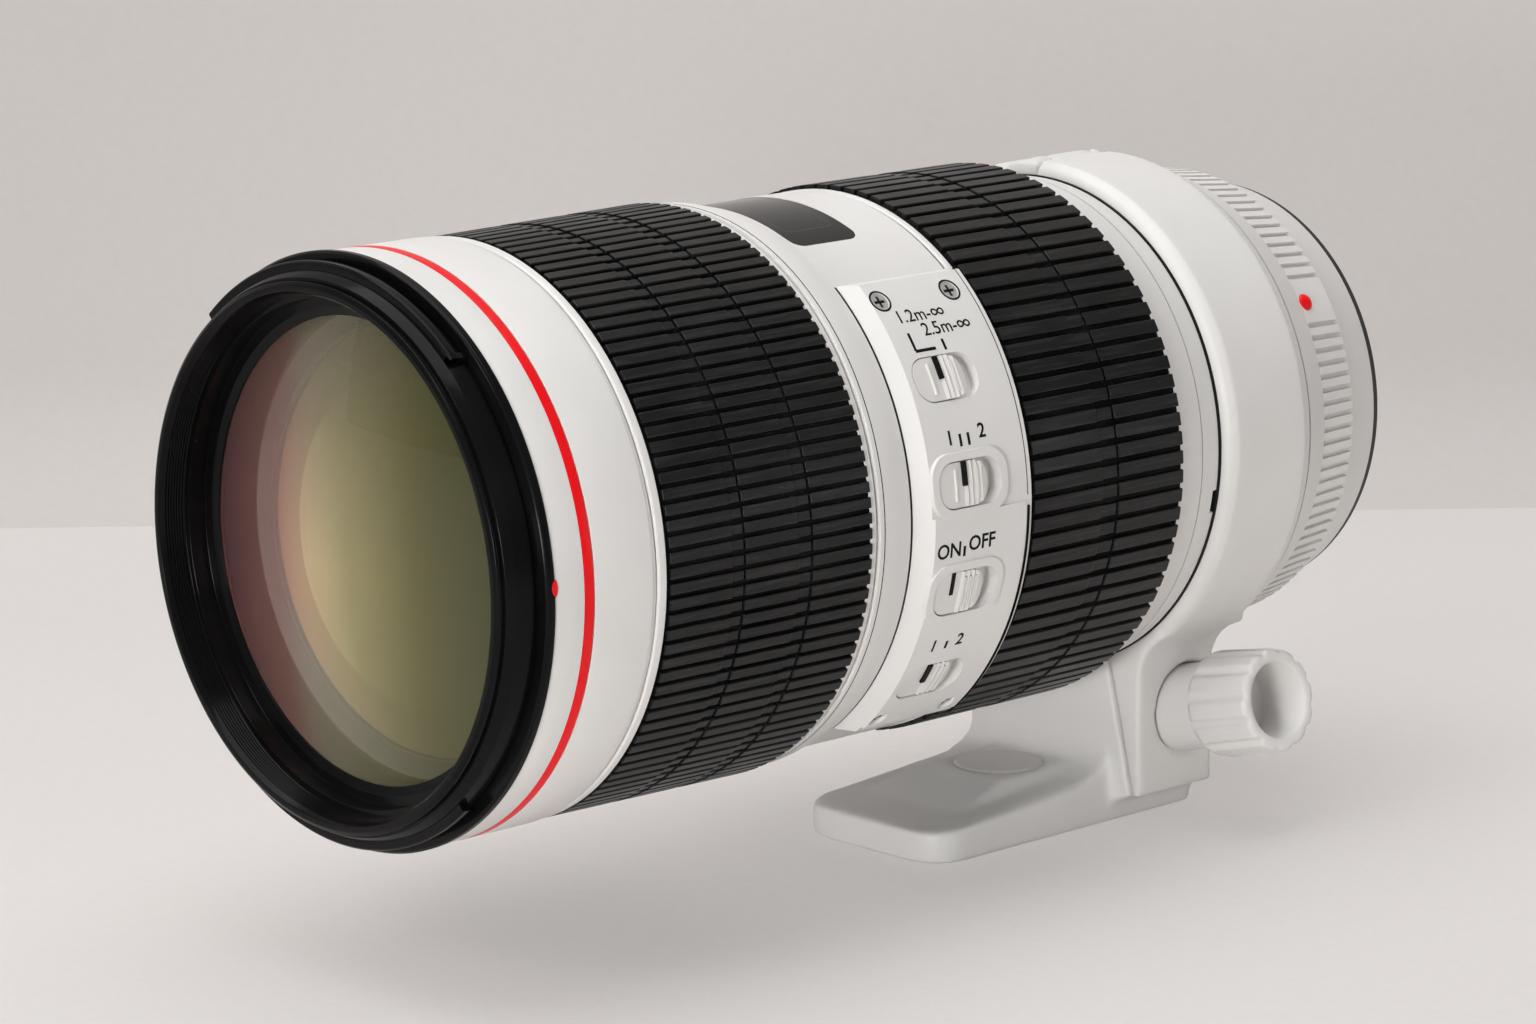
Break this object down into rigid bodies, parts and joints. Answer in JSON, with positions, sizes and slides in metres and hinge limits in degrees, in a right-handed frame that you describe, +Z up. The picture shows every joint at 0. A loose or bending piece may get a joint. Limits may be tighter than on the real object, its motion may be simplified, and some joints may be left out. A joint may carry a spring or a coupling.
{
  "type": "telephoto zoom camera lens",
  "caption": "White telephoto zoom camera lens with ribbed focus and zoom rings, slide switches and a clamping tripod collar with foot.",
  "frame": {"origin": "centre of the bayonet mount's flange face, on the optical axis", "axes": "+X along the optical axis to the camera, +Z up away from the tripod foot, -Y the side with the switches"},
  "size_m": [0.1997, 0.0901, 0.1096],
  "materials": {
    "white_paint": "textured satin",
    "black_ring": "satin",
    "red_paint": "gloss",
    "grip_rubber": "matt",
    "coated_glass": "coated",
    "clear_glass": "coated",
    "smoky_glass": "gloss",
    "black_anodised": "matt",
    "brass": "machined",
    "chrome": "polished",
    "steel": "brushed",
    "white_plastic": "satin",
    "black_plastic": "matt",
    "gasket_rubber": "matt"
  },
  "bodies": {
    "foot": {"collar_foot": "white_paint", "foot_cap": "white_plastic", "tripod_bushing": "steel", "hinge_pin": "steel"},
    "band": {"collar_band": "white_paint"},
    "knob_bush": {"clamp_bush": "white_paint"},
    "knob": {"clamp_knob": "white_paint", "clamp_screw": "steel"},
    "barrel": {"filter_ring": "black_ring", "front_glass": "coated_glass", "second_glass": "coated_glass", "front_barrel": "white_paint", "stripe_ring": "red_paint", "main_tube": "black_anodised", "focus_motor": "steel", "middle_barrel": "white_paint", "scale_window": "smoky_glass", "switch_panel": "white_paint", "panel_screws": "steel", "index_ring": "white_paint", "rear_barrel": "white_paint", "mount_dot": "red_paint", "mount_gasket": "gasket_rubber", "lens_mount": "chrome", "mount_screws": "steel", "contact_block": "black_plastic", "rear_baffle": "black_anodised", "rear_glass": "clear_glass", "diaphragm_plate": "black_anodised", "stabilizer_frame": "black_anodised"},
    "focus": {"focus_ring": "white_paint", "focus_grip": "grip_rubber"},
    "focus_drive": {"roller_ring": "steel", "focus_cam_tube": "black_anodised", "scale_drum": "black_plastic"},
    "focus_group": {"focus_cell": "black_anodised", "focus_glass": "clear_glass"},
    "zoom": {"zoom_ring": "white_paint", "zoom_grip": "grip_rubber", "zoom_cam_tube": "black_anodised"},
    "variator": {"variator_cell": "brass", "variator_glass": "clear_glass"},
    "compensator": {"compensator_cell": "black_anodised", "compensator_glass": "clear_glass"},
    "diaphragm": {"diaphragm_ring": "black_anodised"},
    "stabilizer_shift": {"stabilizer_slider": "black_plastic"},
    "stabilizer_group": {"stabilizer_cell": "black_plastic", "stabilizer_glass": "clear_glass"},
    "focus_limit_switch": {"focus_limit_switch": "white_plastic"},
    "focus_mode_switch": {"focus_mode_switch": "white_plastic"},
    "stabilizer_switch": {"stabilizer_switch": "white_plastic"},
    "stabilizer_mode_switch": {"stabilizer_mode_switch": "white_plastic"},
    "blade_1": {"diaphragm_blade_1": "steel"},
    "blade_2": {"diaphragm_blade_2": "steel"},
    "blade_3": {"diaphragm_blade_3": "steel"},
    "blade_4": {"diaphragm_blade_4": "steel"},
    "blade_5": {"diaphragm_blade_5": "steel"},
    "blade_6": {"diaphragm_blade_6": "steel"},
    "blade_7": {"diaphragm_blade_7": "steel"},
    "blade_8": {"diaphragm_blade_8": "steel"}
  },
  "joints": [
    {"name": "collar_turn", "type": "hinge", "parent": "foot", "child": "barrel", "pos_m": [-0.0355, 0, 0], "axis": [1, 0, 0], "continuous": true},
    {"name": "band_swing", "type": "hinge", "parent": "foot", "child": "band", "pos_m": [-0.0355, 0.00298, 0.04099], "axis": [-1, 0, 0], "range_deg": [0, 60]},
    {"name": "knob_pull", "type": "slide", "parent": "band", "child": "knob_bush", "axis": [0, -0.9736, 0.2284], "range_m": [0, 0.004]},
    {"name": "knob_turn", "type": "hinge", "parent": "knob_bush", "child": "knob", "pos_m": [-0.03305, -0.0226, -0.0466], "axis": [0, -0.9736, 0.2284], "continuous": true},
    {"name": "focus_turn", "type": "hinge", "parent": "barrel", "child": "focus", "pos_m": [-0.1455, 0, 0], "axis": [1, 0, 0], "range_deg": [0, 140]},
    {"name": "focus_cam_turn", "type": "hinge", "parent": "barrel", "child": "focus_drive", "pos_m": [-0.1375, 0, 0], "axis": [1, 0, 0], "range_deg": [0, 70]},
    {"name": "focus_slide", "type": "slide", "parent": "barrel", "child": "focus_group", "axis": [1, 0, 0], "range_m": [-0.014, 0]},
    {"name": "zoom_turn", "type": "hinge", "parent": "barrel", "child": "zoom", "pos_m": [-0.0735, 0, 0], "axis": [1, 0, 0], "range_deg": [0, 72]},
    {"name": "variator_slide", "type": "slide", "parent": "barrel", "child": "variator", "axis": [1, 0, 0], "range_m": [0, 0.017]},
    {"name": "compensator_slide", "type": "slide", "parent": "barrel", "child": "compensator", "axis": [1, 0, 0], "range_m": [-0.008, 0]},
    {"name": "diaphragm_turn", "type": "hinge", "parent": "barrel", "child": "diaphragm", "pos_m": [-0.047, 0, 0], "axis": [1, 0, 0], "range_deg": [0, 22]},
    {"name": "stabilizer_lift", "type": "slide", "parent": "barrel", "child": "stabilizer_shift", "axis": [0, 0, 1], "range_m": [-0.001, 0.001]},
    {"name": "stabilizer_side", "type": "slide", "parent": "stabilizer_shift", "child": "stabilizer_group", "axis": [0, 1, 0], "range_m": [-0.001, 0.001]},
    {"name": "focus_limit_switch_slide", "type": "slide", "parent": "barrel", "child": "focus_limit_switch", "axis": [1, 0, 0], "range_m": [0, 0.0026]},
    {"name": "focus_mode_switch_slide", "type": "slide", "parent": "barrel", "child": "focus_mode_switch", "axis": [1, 0, 0], "range_m": [0, 0.0026]},
    {"name": "stabilizer_switch_slide", "type": "slide", "parent": "barrel", "child": "stabilizer_switch", "axis": [1, 0, 0], "range_m": [0, 0.0026]},
    {"name": "stabilizer_mode_switch_slide", "type": "slide", "parent": "barrel", "child": "stabilizer_mode_switch", "axis": [1, 0, 0], "range_m": [0, 0.0026]},
    {"name": "blade_1_swing", "type": "hinge", "parent": "barrel", "child": "blade_1", "pos_m": [-0.049, 0, 0.0199], "axis": [1, 0, 0], "range_deg": [0, 28]},
    {"name": "blade_2_swing", "type": "hinge", "parent": "barrel", "child": "blade_2", "pos_m": [-0.049, -0.01407, 0.01407], "axis": [1, 0, 0], "range_deg": [0, 28]},
    {"name": "blade_3_swing", "type": "hinge", "parent": "barrel", "child": "blade_3", "pos_m": [-0.049, -0.0199, 0], "axis": [1, 0, 0], "range_deg": [0, 28]},
    {"name": "blade_4_swing", "type": "hinge", "parent": "barrel", "child": "blade_4", "pos_m": [-0.049, -0.01407, -0.01407], "axis": [1, 0, 0], "range_deg": [0, 28]},
    {"name": "blade_5_swing", "type": "hinge", "parent": "barrel", "child": "blade_5", "pos_m": [-0.049, 0, -0.0199], "axis": [1, 0, 0], "range_deg": [0, 28]},
    {"name": "blade_6_swing", "type": "hinge", "parent": "barrel", "child": "blade_6", "pos_m": [-0.049, 0.01407, -0.01407], "axis": [1, 0, 0], "range_deg": [0, 28]},
    {"name": "blade_7_swing", "type": "hinge", "parent": "barrel", "child": "blade_7", "pos_m": [-0.049, 0.0199, 0], "axis": [1, 0, 0], "range_deg": [0, 28]},
    {"name": "blade_8_swing", "type": "hinge", "parent": "barrel", "child": "blade_8", "pos_m": [-0.049, 0.01407, 0.01407], "axis": [1, 0, 0], "range_deg": [0, 28]}
  ],
  "couplings": [
    {"joint": "focus_cam_turn", "follows": "focus_turn", "ratio": 0.5},
    {"joint": "focus_slide", "follows": "focus_turn", "m_per_rad": -0.0057296},
    {"joint": "variator_slide", "follows": "zoom_turn", "m_per_rad": 0.013528},
    {"joint": "compensator_slide", "follows": "zoom_turn", "m_per_rad": -0.0063662},
    {"joint": "blade_1_swing", "follows": "diaphragm_turn", "ratio": 1.2727},
    {"joint": "blade_2_swing", "follows": "diaphragm_turn", "ratio": 1.2727},
    {"joint": "blade_3_swing", "follows": "diaphragm_turn", "ratio": 1.2727},
    {"joint": "blade_4_swing", "follows": "diaphragm_turn", "ratio": 1.2727},
    {"joint": "blade_5_swing", "follows": "diaphragm_turn", "ratio": 1.2727},
    {"joint": "blade_6_swing", "follows": "diaphragm_turn", "ratio": 1.2727},
    {"joint": "blade_7_swing", "follows": "diaphragm_turn", "ratio": 1.2727},
    {"joint": "blade_8_swing", "follows": "diaphragm_turn", "ratio": 1.2727}
  ]
}
